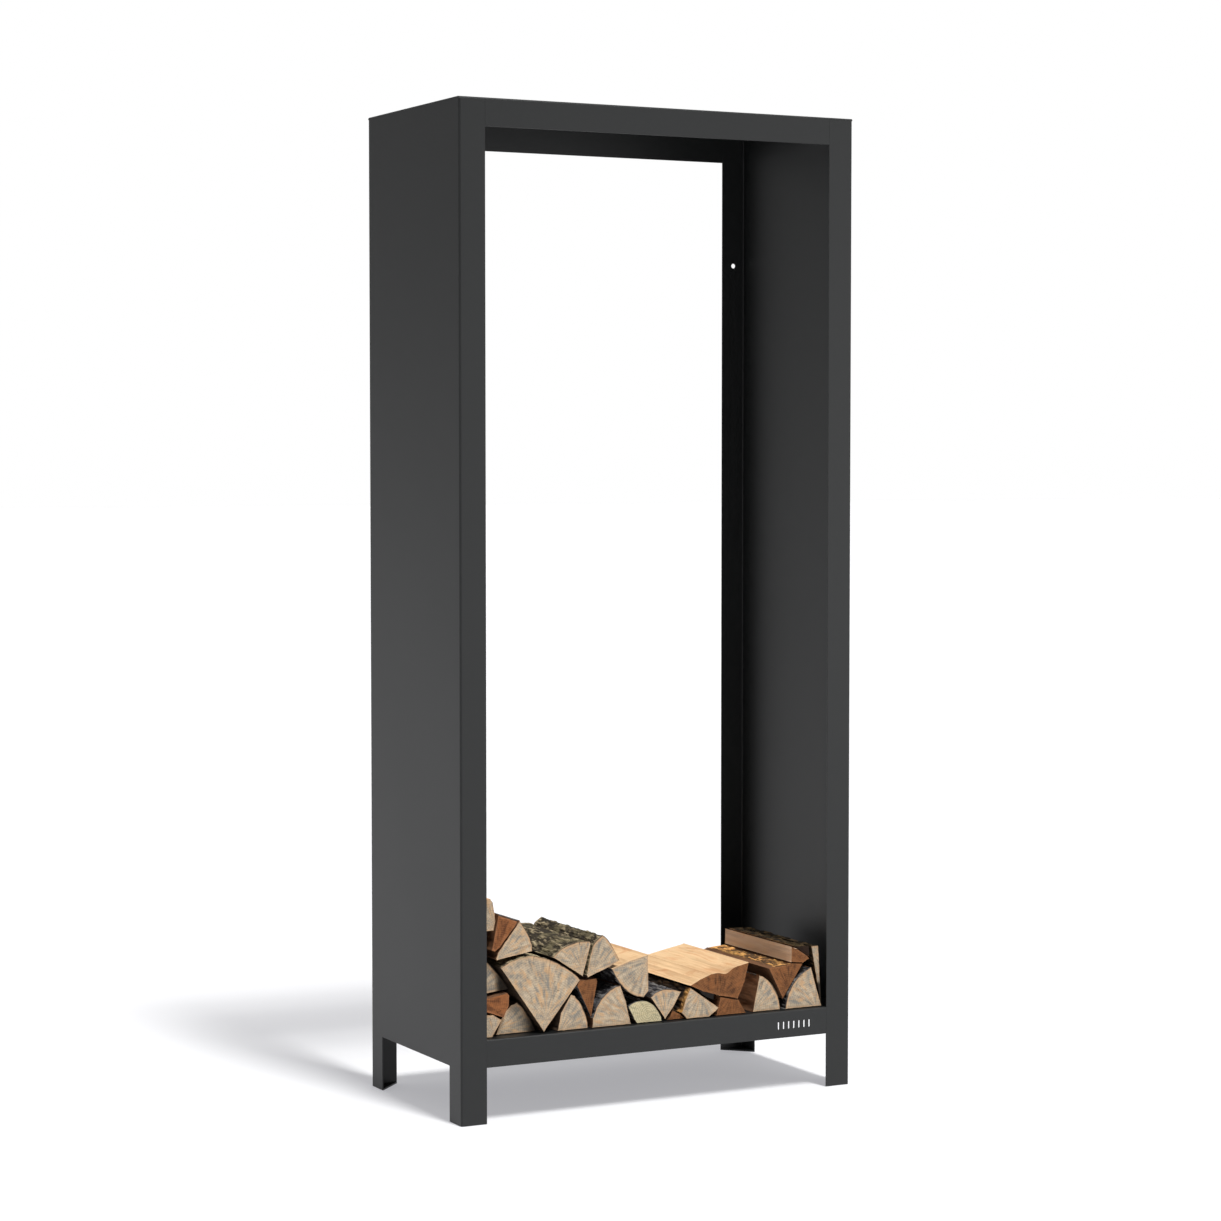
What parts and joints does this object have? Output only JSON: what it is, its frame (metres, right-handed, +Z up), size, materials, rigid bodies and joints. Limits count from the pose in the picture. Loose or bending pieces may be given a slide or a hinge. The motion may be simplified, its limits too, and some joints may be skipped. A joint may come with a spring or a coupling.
{
  "type": "firewood log rack",
  "caption": "Tall open steel frame rack with folded side panels, four short legs and a raised floor, holding a low stack of split firewood logs.",
  "frame": {"origin": "on the floor, at the centre of the rack's rectangular footprint", "axes": "+Z up; the open front faces -Y, the wall side is +Y, +X is to the right as seen from the front"},
  "size_m": [0.8, 0.4, 1.8],
  "materials": {
    "powder_coated_steel": "fine-textured matt anthracite powder coat over folded sheet steel",
    "split_wood": "dry split firewood: pale sawn ends, rough split faces, grey-brown bark",
    "alder_wood": "dry split firewood with orange-brown ends and split faces"
  },
  "bodies": {
    "rack": {"left_side_panel": "powder_coated_steel", "right_side_panel": "powder_coated_steel", "top_panel": "powder_coated_steel", "floor_panel": "powder_coated_steel", "foot_plate_front_left": "powder_coated_steel", "foot_plate_front_right": "powder_coated_steel", "foot_plate_rear_left": "powder_coated_steel", "foot_plate_rear_right": "powder_coated_steel"},
    "log_01": {"log_01": "split_wood"},
    "log_02": {"log_02": "split_wood"},
    "log_03": {"log_03": "split_wood"},
    "log_04": {"log_04": "split_wood"},
    "log_05": {"log_05": "split_wood"},
    "log_06": {"log_06": "split_wood"},
    "log_07": {"log_07": "split_wood"},
    "log_08": {"log_08": "alder_wood"},
    "log_09": {"log_09": "split_wood"},
    "log_10": {"log_10": "alder_wood"},
    "log_11": {"log_11": "split_wood"},
    "log_12": {"log_12": "split_wood"},
    "log_13": {"log_13": "split_wood"},
    "log_14": {"log_14": "alder_wood"},
    "log_15": {"log_15": "split_wood"},
    "log_16": {"log_16": "alder_wood"},
    "log_17": {"log_17": "split_wood"},
    "log_18": {"log_18": "alder_wood"},
    "log_19": {"log_19": "alder_wood"},
    "log_20": {"log_20": "alder_wood"},
    "log_21": {"log_21": "split_wood"},
    "log_22": {"log_22": "split_wood"},
    "log_23": {"log_23": "split_wood"},
    "log_24": {"log_24": "alder_wood"},
    "log_25": {"log_25": "split_wood"},
    "log_26": {"log_26": "split_wood"},
    "log_27": {"log_27": "split_wood"}
  },
  "joints": [
    {"name": "log_01_draw", "type": "slide", "parent": "rack", "child": "log_01", "axis": [0, -1, 0], "range_m": [-0.12, 0.008]},
    {"name": "log_02_draw", "type": "slide", "parent": "rack", "child": "log_02", "axis": [0, -1, 0], "range_m": [0, 0.3]},
    {"name": "log_03_draw", "type": "slide", "parent": "rack", "child": "log_03", "axis": [0, -1, 0], "range_m": [0, 0.3]},
    {"name": "log_04_draw", "type": "slide", "parent": "rack", "child": "log_04", "axis": [0, -1, 0], "range_m": [0, 0.3]},
    {"name": "log_05_draw", "type": "slide", "parent": "rack", "child": "log_05", "axis": [0, -1, 0], "range_m": [0, 0.3]},
    {"name": "log_06_draw", "type": "slide", "parent": "rack", "child": "log_06", "axis": [0, -1, 0], "range_m": [0, 0.3]},
    {"name": "log_07_draw", "type": "slide", "parent": "rack", "child": "log_07", "axis": [0, -1, 0], "range_m": [0, 0.3]},
    {"name": "log_08_draw", "type": "slide", "parent": "rack", "child": "log_08", "axis": [0, -1, 0], "range_m": [0, 0.3]},
    {"name": "log_09_draw", "type": "slide", "parent": "rack", "child": "log_09", "axis": [0, -1, 0], "range_m": [0, 0.3]},
    {"name": "log_10_draw", "type": "slide", "parent": "rack", "child": "log_10", "axis": [0, -1, 0], "range_m": [0, 0.3]},
    {"name": "log_11_draw", "type": "slide", "parent": "rack", "child": "log_11", "axis": [0, -1, 0], "range_m": [0, 0.3]},
    {"name": "log_12_draw", "type": "slide", "parent": "rack", "child": "log_12", "axis": [0, -1, 0], "range_m": [0, 0.3]},
    {"name": "log_13_draw", "type": "slide", "parent": "rack", "child": "log_13", "axis": [0, -1, 0], "range_m": [0, 0.3]},
    {"name": "log_14_draw", "type": "slide", "parent": "rack", "child": "log_14", "axis": [0, -1, 0], "range_m": [-0.12, 0.007]},
    {"name": "log_15_draw", "type": "slide", "parent": "rack", "child": "log_15", "axis": [0, -1, 0], "range_m": [-0.12, 0.024]},
    {"name": "log_16_draw", "type": "slide", "parent": "rack", "child": "log_16", "axis": [0, -1, 0], "range_m": [0, 0.3]},
    {"name": "log_17_draw", "type": "slide", "parent": "rack", "child": "log_17", "axis": [0, -1, 0], "range_m": [0, 0.3]},
    {"name": "log_18_draw", "type": "slide", "parent": "rack", "child": "log_18", "axis": [0, -1, 0], "range_m": [0, 0.3]},
    {"name": "log_19_draw", "type": "slide", "parent": "rack", "child": "log_19", "axis": [0, -1, 0], "range_m": [0, 0.3]},
    {"name": "log_20_draw", "type": "slide", "parent": "rack", "child": "log_20", "axis": [0, -1, 0], "range_m": [0, 0.3]},
    {"name": "log_21_draw", "type": "slide", "parent": "rack", "child": "log_21", "axis": [0, -1, 0], "range_m": [0, 0.3]},
    {"name": "log_22_draw", "type": "slide", "parent": "rack", "child": "log_22", "axis": [0, -1, 0], "range_m": [-0.12, 0.013]},
    {"name": "log_23_draw", "type": "slide", "parent": "rack", "child": "log_23", "axis": [0, -1, 0], "range_m": [0, 0.3]},
    {"name": "log_24_draw", "type": "slide", "parent": "rack", "child": "log_24", "axis": [0, -1, 0], "range_m": [0, 0.3]},
    {"name": "log_25_draw", "type": "slide", "parent": "rack", "child": "log_25", "axis": [0, -1, 0], "range_m": [0, 0.3]},
    {"name": "log_26_draw", "type": "slide", "parent": "rack", "child": "log_26", "axis": [0, -1, 0], "range_m": [0, 0.3]},
    {"name": "log_27_draw", "type": "slide", "parent": "rack", "child": "log_27", "axis": [0, -1, 0], "range_m": [-0.12, 0.01]}
  ]
}
